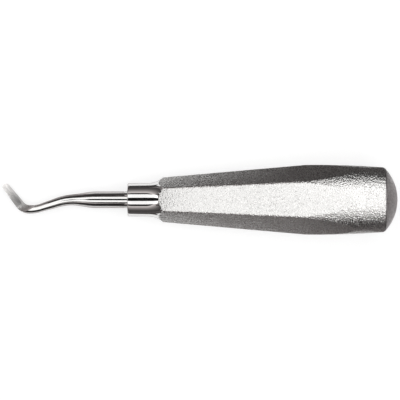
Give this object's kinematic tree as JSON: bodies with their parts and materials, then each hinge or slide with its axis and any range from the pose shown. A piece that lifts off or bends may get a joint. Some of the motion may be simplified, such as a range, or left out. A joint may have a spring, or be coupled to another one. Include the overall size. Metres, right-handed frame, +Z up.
{
  "type": "surgical elevator",
  "caption": "Root elevator: hollow steel handle with tapering flats, polished collar and domed end cap, and a cranked round shank ending in a bent hollow-ground blade.",
  "frame": {"origin": "middle of the handle flat that the elevator rests on", "axes": "+X from the blade towards the end cap, +Z up out of the rest flat, +Y towards the side the blade's tip bends to"},
  "size_m": [0.1442, 0.0256, 0.0251],
  "materials": {
    "handle_body": "blasted satin on the flats and barrel, polished on the collar and flare",
    "end_cap": "satin",
    "working_end": "polished shank, finely ground blade"
  },
  "bodies": {
    "root": {"handle_body": "handle_body", "end_cap": "end_cap", "working_end": "working_end"}
  },
  "joints": []
}
